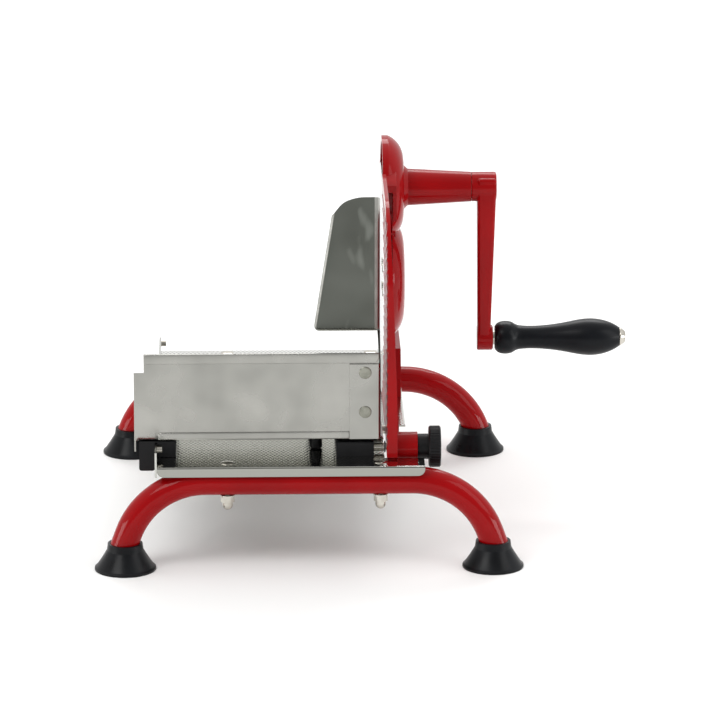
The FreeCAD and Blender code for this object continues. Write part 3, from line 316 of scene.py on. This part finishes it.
def sheetFace(corners):
    # a new bmesh with one flat face on these corners
    shape = bmesh.new()
    shape.faces.new([shape.verts.new([c * mm for c in corner]) for corner in corners])
    return shape


def soften(shape, parts, radius, segments=5, affect="EDGES"):
    bmesh.ops.bevel(shape, geom=list(parts), offset=radius * mm, offset_type="OFFSET", segments=segments,
                    profile=0.5, affect=affect, material=-1, clamp_overlap=True)


def pulled(shape, edges, way):
    # extrudes edges by a vector in millimetres and gives the new edges
    made = bmesh.ops.extrude_edge_only(shape, edges=edges)["geom"]
    bmesh.ops.translate(shape, verts=[v for v in made if isinstance(v, bmesh.types.BMVert)],
                        vec=[w * mm for w in way])
    return [e for e in made if isinstance(e, bmesh.types.BMEdge)]


def turned(profile, axis, centre, steps=72):
    # a closed solid turned about an axis from (along, radius) points
    shape = bmesh.new()
    along, across = {"X": (0, 2), "Y": (1, 2), "Z": (2, 0)}[axis]
    line = []
    for reach, radius in profile:
        point = list(centre)
        point[along] = reach
        point[across] += radius
        line.append(shape.verts.new([c * mm for c in point]))
    edges = [shape.edges.new(pair) for pair in zip(line, line[1:])]
    bmesh.ops.spin(shape, geom=line + edges, cent=[c * mm for c in centre],
                   axis=[1 if i == along else 0 for i in range(3)], angle=math.tau, steps=steps,
                   use_merge=True, use_duplicate=False)
    bmesh.ops.remove_doubles(shape, verts=shape.verts, dist=touching)
    return shape


def addTo(shape, other):
    # joins another bmesh's faces into this one
    data = bpy.data.meshes.new("part")
    other.to_mesh(data)
    other.free()
    shape.from_mesh(data)
    bpy.data.meshes.remove(data)


def finishPiece(name, shape, body, finishes, smooth, replaced=(), turnOut=True):
    # smooth is the sharpest angle that is still shaded round
    if turnOut:
        bmesh.ops.recalc_face_normals(shape, faces=shape.faces)
    data = bpy.data.meshes.new(name)
    shape.to_mesh(data)
    shape.free()
    for finish in finishes:
        data.materials.append(finish)
    data.shade_smooth()
    data.set_sharp_from_angle(angle=math.radians(smooth))
    piece = bpy.data.objects.new(name, data)
    bpy.context.scene.collection.objects.link(piece)
    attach(piece, body)
    if replaced:
        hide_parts(*replaced)
    return piece


def sheetMetal(piece, thick, edge, sharp):
    # gives a bent surface its thickness behind it, and breaks the sheared edges
    wall = piece.modifiers.new("sheetThickness", "SOLIDIFY")
    wall.thickness, wall.offset, wall.use_even_offset = thick * mm, -1, True
    rim = piece.modifiers.new("brokenEdge", "BEVEL")
    rim.width, rim.segments, rim.harden_normals = edge * mm, 2, True
    rim.limit_method, rim.angle_limit = "ANGLE", math.radians(sharp)


# finger guard: one bent sheet, from the riveted strip round the web to the shield with its turned lips
guard = {"right": 10.37, "left": -42.8, "low": 183.7, "high": 294.0, "leanTop": -27.8, "curveZ": 279.0,
         "crown": ((-7.0, 294.0), (-18.6, 290.2)), "crownRound": 4.5, "cornerRound": 5.0, "cornerSteps": 6,
         "face": -118.0, "back": -112.0, "webDrop": 4.0, "shoulderY": -138.0, "shoulderRise": 4.0,
         "stripFace": -146.2, "stripLeft": -14.5, "stripLow": 102.5, "stripHigh": 164.5, "footRise": 1.7,
         "stripBend": 2.6, "lip": 3.2, "lipBend": 2.6, "lipLow": 184.2, "lipHigh": 279.2, "lipWide": 3.2,
         "bend": 2.0, "bendSteps": 6, "doubled": 4.2, "webTop": 179.7, "flatFrom": 0.985,
         "thick": 1.2, "edge": 0.35, "smooth": 50}


def makeFingerGuard(g):
    right, face, low, high = g["right"], g["face"], g["low"], g["high"]
    (crownX, crownZ), (bendX, bendZ) = g["crown"]
    shield = sheetFace([(right, face, low), (right, face, high), (crownX, face, crownZ), (bendX, face, bendZ),
                        (g["leanTop"], face, g["curveZ"]), (g["left"], face, low)])
    corner = min(shield.verts, key=lambda v: v.co.x)
    crown = [v for v in shield.verts if min(abs(v.co.x - x * mm) for x in (crownX, bendX)) < touching]
    soften(shield, [corner], g["cornerRound"], g["cornerSteps"], "VERTICES")
    soften(shield, crown, g["crownRound"], affect="VERTICES")
    for flat in shield.faces:
        if flat.normal.y > 0:
            flat.normal_flip()

    # the lips run along the low edge and up the leaning left one, and turn away from the user
    lean = (g["leanTop"] - g["left"]) / (g["curveZ"] - low)
    lips = []
    for edge in shield.edges:
        x, y, z = (edge.verts[0].co + edge.verts[1].co) / 2 / mm
        onLean = z < g["lipHigh"] and x < g["left"] + lean * (z - low) + g["lipWide"]
        if z < g["lipLow"] or onLean:
            lips.append(edge)
    pulled(shield, lips, (0, g["lip"], 0))
    soften(shield, lips, g["lipBend"])

    # the web behind the shield's right edge, and the strip on the carriage wall
    ends = [v for v in shield.verts
            if abs(v.co.x - right * mm) < touching and abs(v.co.y - face * mm) < touching]
    ends.sort(key=lambda v: v.co.z)
    lowEnd, highEnd = ends[0], ends[-1]

    def at(y, z, x=right):
        return shield.verts.new((x * mm, y * mm, z * mm))

    stripFace, stripLow, stripHigh = g["stripFace"], g["stripLow"], g["stripHigh"]
    backHigh, backLow = at(g["back"], high - g["webDrop"]), at(g["back"], lowEnd.co.z / mm)
    shield.faces.new([lowEnd, backLow, backHigh, highEnd])
    rear, foot = at(g["back"], stripLow + g["footRise"]), at(stripFace, stripLow)
    stripTop, shoulder = at(stripFace, stripHigh), at(g["shoulderY"], stripHigh + g["shoulderRise"])
    shield.faces.new([backLow, lowEnd, shoulder, stripTop, foot, rear])
    strip = shield.faces.new([foot, stripTop, at(stripFace, stripHigh, g["stripLeft"]),
                              at(stripFace, stripLow, g["stripLeft"])])
    strip.material_index = 1
    soften(shield, [e for e in shield.edges if {foot, stripTop} == set(e.verts)], g["stripBend"])
    soften(shield, [e for e in shield.edges if {lowEnd, highEnd} == set(e.verts)], g["bend"], g["bendSteps"])

    # the sheet is doubled over along the right edge; that edge, the bends and the lips take the lighter rim
    # finish, a painted highlight
    fold = (right - g["doubled"]) * mm
    bmesh.ops.bisect_plane(shield, geom=shield.verts[:] + shield.edges[:] + shield.faces[:],
                           plane_co=(fold, 0, 0), plane_no=(1, 0, 0))
    bmesh.ops.recalc_face_normals(shield, faces=shield.faces)
    flats = []
    for side in shield.faces:
        middle = side.calc_center_median()
        if middle.z > g["webTop"] * mm:
            if abs(side.normal.y) < g["flatFrom"] or middle.x > fold:
                side.material_index = 2
            else:
                flats.append(side)
    if max(flats, key=lambda f: f.calc_area()).normal.y > 0:
        bmesh.ops.reverse_faces(shield, faces=shield.faces)
    piece = finishPiece("fingerGuard", shield, "carriage",
                        [guardSheet, wallSheet, rimHighlightSheet], g["smooth"], ["finger_guard"], turnOut=False)
    sheetMetal(piece, g["thick"], g["edge"], g["smooth"])


makeFingerGuard(guard)

# carriage: floor, rolled lower corner and wall in one sheet, with a flange on the left
tray = {"left": -186.0, "floorLeft": -183.0, "notchLeft": -178.0, "right": 8.97, "floorRight": 12.4,
        "front": -145.0, "rear": -25.0, "low": 101.0, "notch": 158.0, "top": 173.4, "bend": 5.2,
        "cornerRound": 4.4, "flangeLow": 93.0, "flangeBack": -131.0, "flangeHeel": -142.0, "flangeDrop": 6.0,
        "flangeRound": 3.0, "flangeProud": 0.05, "levelFrom": 0.9, "thick": 1.2, "edge": 0.3, "smooth": 50}
# two strips folded on the wall's face: the hem hangs from its top, the lap turns up from its foot
hem = {"left": -178.0, "right": 8.99, "low": 165.4, "high": 173.5, "roundAt": (8.99, 165.4),
       "cornerRound": 4.8, "cornerSteps": 6, "thick": 1.2, "edge": 0.5, "edgeSteps": 3, "smooth": 50}
lap = {"left": -167.0, "right": -14.6, "low": 102.6, "high": 108.6, "roundAt": (-167.0, 108.6),
       "cornerRound": 2.4, "cornerSteps": 5, "thick": 0.96, "edge": 0.85, "edgeSteps": 4, "smooth": 60}


def makeCarriage(t):
    sheet = bmesh.new()
    front, rear, low = t["front"], t["rear"], t["low"]
    profile = [(rear, low), (front, low), (front, t["notch"]), (front, t["top"])]
    line = [sheet.verts.new((t["left"] * mm, y * mm, z * mm)) for y, z in profile]
    edges = [sheet.edges.new(pair) for pair in zip(line, line[1:])]
    columns = [t["left"], t["floorLeft"], t["notchLeft"], t["right"], t["floorRight"]]
    for before, after in zip(columns, columns[1:]):
        edges = pulled(sheet, edges, (after - before, 0, 0))

    # the wall ends short of the floor on the right, passes it on the left, and is notched at the top left
    spare = []
    for flat in sheet.faces:
        x, y, z = flat.calc_center_median() / mm
        onWall = abs(y - front) * mm < touching
        pastEnd = x > t["right"] if onWall else x < t["floorLeft"]
        if pastEnd or (onWall and z > t["notch"] and x < t["notchLeft"]):
            spare.append(flat)
    bmesh.ops.delete(sheet, geom=spare, context="FACES")
    crease = [e for e in sheet.edges if len(e.link_faces) == 2 and
              all(abs(v.co.y - front * mm) < touching and abs(v.co.z - low * mm) < touching for v in e.verts)]
    soften(sheet, crease, t["bend"])
    rearCorners = [v for v in sheet.verts if v.co.y > rear * mm - touching and
                   (v.co.x > t["floorRight"] * mm - touching or v.co.x < t["floorLeft"] * mm + touching)]
    soften(sheet, rearCorners, t["cornerRound"], affect="VERTICES")
    bmesh.ops.recalc_face_normals(sheet, faces=sheet.faces)
    if max(sheet.faces, key=lambda f: f.calc_area()).normal.z > 0:
        bmesh.ops.reverse_faces(sheet, faces=sheet.faces)

    left, start, back = t["left"], front - t["flangeProud"], t["flangeBack"]
    flange = sheetFace([(left, start, t["flangeLow"]), (left, start, t["notch"]),
                        (left, back, t["notch"] - t["flangeDrop"]), (left, back, low),
                        (left, t["flangeHeel"], t["flangeLow"])])
    rounded = [v for v in flange.verts if abs(v.co.y - back * mm) < touching]
    soften(flange, rounded, t["flangeRound"], affect="VERTICES")
    for flat in flange.faces:
        if flat.normal.x > 0:
            flat.normal_flip()
    addTo(sheet, flange)
    for side in sheet.faces:
        side.material_index = 1 if abs(side.normal.z) > t["levelFrom"] else 0   # level faces polished, and their lighter colour also paints light into the shade under the tray; satin wall
    piece = finishPiece("carriageSheet", sheet, "carriage", [wallSheet, mirrorSheet],
                        t["smooth"], ["carriage_sheet"], turnOut=False)
    sheetMetal(piece, t["thick"], t["edge"], t["smooth"])


def makeFold(name, s, face):
    # a strip of sheet flat on the wall's face, with one corner rounded and its front edges eased
    corners = [(s["left"], s["low"]), (s["left"], s["high"]), (s["right"], s["high"]), (s["right"], s["low"])]
    fold = sheetFace([(x, face, z) for x, z in corners])
    roundX, roundZ = s["roundAt"]
    free = [v for v in fold.verts
            if abs(v.co.x - roundX * mm) < touching and abs(v.co.z - roundZ * mm) < touching]
    soften(fold, free, s["cornerRound"], s["cornerSteps"], "VERTICES")
    made = bmesh.ops.extrude_face_region(fold, geom=fold.faces[:])["geom"]
    bmesh.ops.translate(fold, verts=[v for v in made if isinstance(v, bmesh.types.BMVert)],
                        vec=(0, -s["thick"] * mm, 0))
    bmesh.ops.recalc_face_normals(fold, faces=fold.faces)
    outer = [e for e in fold.edges if all(v.co.y < (face - s["thick"] / 2) * mm for v in e.verts)]
    soften(fold, outer, s["edge"], s["edgeSteps"])
    finishPiece(name, fold, "carriage", [wallSheet], s["smooth"])


makeCarriage(tray)
makeFold("wallHem", hem, tray["front"])
makeFold("wallLap", lap, tray["front"])

# rivets pressed flush: a wide flat head with a shallow rolled rim, and a small closed tail behind
rivet = {"x": -2.02, "face": -146.2, "heights": (125.0, 157.5), "headSteps": 48, "tailSteps": 40, "smooth": 40,
         "head": ((-146.1, 0.0), (-146.1, 5.0), (-146.35, 5.0), (-146.78, 4.65), (-146.9, 4.2), (-146.8, 3.5),
                  (-146.78, 0.0)),
         "tail": ((-143.9, 0.0), (-143.9, 3.2), (-143.2, 3.0), (-142.9, 2.2), (-142.8, 0.0))}


def makeRivets(r):
    rivets = bmesh.new()
    for z in r["heights"]:
        centre = (r["x"], r["face"], z)
        addTo(rivets, turned(r["head"], "Y", centre, r["headSteps"]))
        addTo(rivets, turned(r["tail"], "Y", centre, r["tailSteps"]))
    finishPiece("guardRivets", rivets, "carriage", [rivetSteel], r["smooth"], ["guard_rivets"])


makeRivets(rivet)

# bolts through the plate: low round heads, all but flush with the sheet
bolt = {"spots": ((-112.03, -160.0, 52.8), (9.97, -160.0, 52.8), (-112.03, 160.0, 43.3), (9.97, 160.0, 43.3)),
        "shank": 2.9, "head": ((87.2, 2.9), (87.2, 5.5), (87.6, 5.5), (88.0, 4.8), (88.25, 3.3), (88.3, 0.0)),
        "steps": 40, "smooth": 40}


def makeBolts(b):
    bolts = bmesh.new()
    for x, y, low in b["spots"]:
        outline = ((low, 0.0), (low, b["shank"]), *b["head"])
        addTo(bolts, turned(outline, "Z", (x, y, low), b["steps"]))
    finishPiece("plateBolts", bolts, "frame", [nickel], b["smooth"], ["base_bolts"])


makeBolts(bolt)

# crank arm: turned hub, tapering cast arm with rounded edges, round foot and boss for the handle
arm = {"axisY": 40.0, "hubZ": 262.5, "footZ": 133.5, "edge": 2.4, "edgeSteps": 4, "smooth": 40,
       "top": {"z": 271.5, "left": 94.48, "right": 110.57, "half": 11.9},
       "low": {"z": 133.5, "left": 95.48, "right": 106.07, "half": 9.5},
       "hub": ((89.8, 0.0), (89.8, 11.7), (90.3, 12.2), (108.97, 12.2), (110.07, 11.7), (110.57, 10.6),
               (110.57, 0.0)),
       "foot": ((95.48, 0.0), (95.48, 7.1), (96.2, 8.78), (97.88, 9.5), (103.67, 9.5), (105.35, 8.78),
                (106.07, 7.1), (106.07, 0.0)),
       "boss": ((95.18, 0.0), (95.18, 9.6), (95.98, 10.4), (107.6, 10.4), (108.4, 9.6), (108.4, 0.0))}


def makeCrankArm(a):
    bar = bmesh.new()
    bmesh.ops.create_cube(bar, size=1.0)
    for vert in bar.verts:
        end = a["top"] if vert.co.z > 0 else a["low"]
        x = end["right"] if vert.co.x > 0 else end["left"]
        y = a["axisY"] + math.copysign(end["half"], vert.co.y)
        vert.co = Vector((x, y, end["z"])) * mm
    upright = [e for e in bar.edges if abs(e.verts[0].co.z - e.verts[1].co.z) > touching]
    topRim = [e for e in bar.edges if all(v.co.z > a["top"]["z"] * mm - touching for v in e.verts)]
    soften(bar, upright + topRim, a["edge"], a["edgeSteps"])
    addTo(bar, turned(a["hub"], "X", (0, a["axisY"], a["hubZ"])))
    addTo(bar, turned(a["foot"], "X", (0, a["axisY"], a["footZ"])))
    addTo(bar, turned(a["boss"], "X", (0, a["axisY"], a["footZ"])))
    finishPiece("crankArm", bar, "crank", [castEnamel], a["smooth"], ["crank_arm", "crank_pin"])


makeCrankArm(arm)
print("finer pieces made")

# floor, light and camera, in metres and watts
studio = {"floorHalf": 6, "world": 1.0, "room": 0.35, "roomTo": -0.75, "worldFrom": 0.1}
softBoxes = {
    "keyBox": {"place": (-1.2, -1.3, 1.9), "aim": (0, 0, 0.15), "size": (1.2, 1.2), "power": 22},
    "fillBox": {"place": (1.6, -0.9, 1.2), "aim": (0, 0, 0.15), "size": (1.0, 1.4), "power": 9},
    "lowLeftBox": {"place": (-1.9, -0.7, 0.22), "aim": (0, -0.05, 0.03), "size": (1.0, 0.35), "power": 7},
    "lowRightBox": {"place": (1.9, -0.7, 0.22), "aim": (0, -0.05, 0.03), "size": (1.0, 0.35), "power": 7},
    "backBox": {"place": (0.2, 1.6, 1.8), "aim": (0, 0, 0.15), "size": (1.6, 0.8), "power": 20}}
view = {"place": (-0.1054, -4.2091, 1.3334), "right": (0.9997, -0.0244, 0.0), "up": (0.0067, 0.2756, 0.9613),
        "ahead": (0.0235, 0.9610, -0.2756), "lens": 266.25, "sensor": 36}
# matt background paper: almost white, with a barely seen unevenness
paperLook = {"light": "#f8f8f7", "dark": "#f4f4f3", "cloudMm": 900}


def studioPaper(name, look):
    material, tree, shader, coords = startMaterial(name, {"Roughness": 0.8})
    cloud = addNode(tree, "TexNoise", None, {
        "Vector": coords, "Scale": 1 / (look["cloudMm"] * mm), "Detail": 2.0, "Roughness": 0.5})
    spread = addNode(tree, "MapRange", None, {"Value": cloud.outputs["Fac"], **noiseSpan})
    tone = addNode(tree, "Mix", {"data_type": "RGBA"}, {
        "Factor": spread.outputs["Result"],
        colourA: hexColour(look["dark"]), colourB: hexColour(look["light"])})
    tree.links.new(tone.outputs[colourOut], shader.inputs["Base Color"])
    return material


floorMesh = bmesh.new()
bmesh.ops.create_grid(floorMesh, x_segments=8, y_segments=8, size=studio["floorHalf"])
floorData = bpy.data.meshes.new("studioFloor")
floorMesh.to_mesh(floorData)
floorMesh.free()
floorData.materials.append(studioPaper("paleStudioPaper", paperLook))
floor = bpy.data.objects.new("studioFloor", floorData)
bpy.context.scene.collection.objects.link(floor)

world = bpy.data.worlds.new("softStudio")
bpy.context.scene.world = world
world.use_nodes = True
# a bright sweep behind, and a dimmer room in front for the sheets to mirror
worldTree = world.node_tree
skyward = addNode(worldTree, "TexCoord").outputs["Generated"]
around = addNode(worldTree, "SeparateXYZ", None, {"Vector": skyward})
room = addNode(worldTree, "MapRange", None, {
    "Value": around.outputs["Y"], "From Min": studio["roomTo"], "From Max": studio["worldFrom"],
    "To Min": studio["room"], "To Max": studio["world"]})
seen = addNode(worldTree, "LightPath").outputs["Is Camera Ray"]
glow = addNode(worldTree, "Mix", {"data_type": "FLOAT"}, {
    "Factor": seen, "A": room.outputs["Result"], "B": studio["world"]})
worldTree.links.new(glow.outputs[0], worldTree.nodes["Background"].inputs["Strength"])
worldTree.nodes["Background"].inputs["Color"].default_value = (1, 1, 1, 1)

for name, box in softBoxes.items():
    light = bpy.data.lights.new(name, "AREA")
    light.shape = "RECTANGLE"
    light.size, light.size_y = box["size"]
    light.energy = box["power"]
    lamp = bpy.data.objects.new(name, light)
    lamp.location = box["place"]
    lamp.rotation_euler = (Vector(box["aim"]) - Vector(box["place"])).to_track_quat("-Z", "Y").to_euler()
    bpy.context.scene.collection.objects.link(lamp)

cameraData = bpy.data.cameras.new("photoCamera")
cameraData.lens = view["lens"]
cameraData.sensor_width = view["sensor"]
camera = bpy.data.objects.new("photoCamera", cameraData)
turn = Matrix((view["right"], view["up"], tuple(-a for a in view["ahead"]))).transposed()
camera.matrix_world = Matrix.Translation(view["place"]) @ turn.to_4x4()
bpy.context.scene.collection.objects.link(camera)
bpy.context.scene.camera = camera
bpy.context.scene.view_settings.view_transform = "Standard"
print("studio set")
